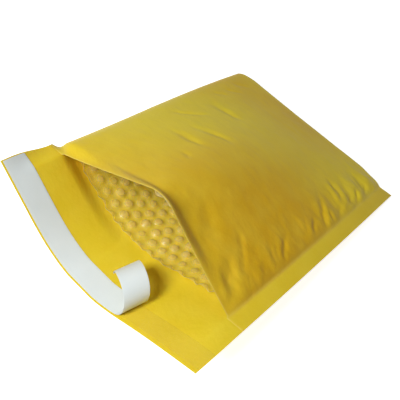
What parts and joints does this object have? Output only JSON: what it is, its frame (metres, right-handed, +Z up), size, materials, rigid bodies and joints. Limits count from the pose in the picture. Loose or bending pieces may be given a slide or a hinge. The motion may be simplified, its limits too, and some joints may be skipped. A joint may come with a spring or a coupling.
{
  "type": "padded envelope",
  "caption": "Gold kraft padded envelope lying open on its back, with a bubble film lining, a self-seal flap and a white release strip peeled back into a curl.",
  "frame": {"origin": "under the middle of the envelope as it lies open, on the surface that its back panel rests on", "axes": "+X across the envelope, +Y from the flap's edge to the bottom fold, +Z up out of the front panel"},
  "size_m": [0.2328, 0.3254, 0.0831],
  "materials": {
    "gold_kraft": "satin",
    "clear_film": "gloss",
    "hot_melt": "gloss",
    "silicone_paper": "satin"
  },
  "bodies": {
    "root": {"kraft_paper": "gold_kraft", "bubble_film": "clear_film", "adhesive_band": "hot_melt", "release_strip": "silicone_paper"}
  },
  "joints": []
}
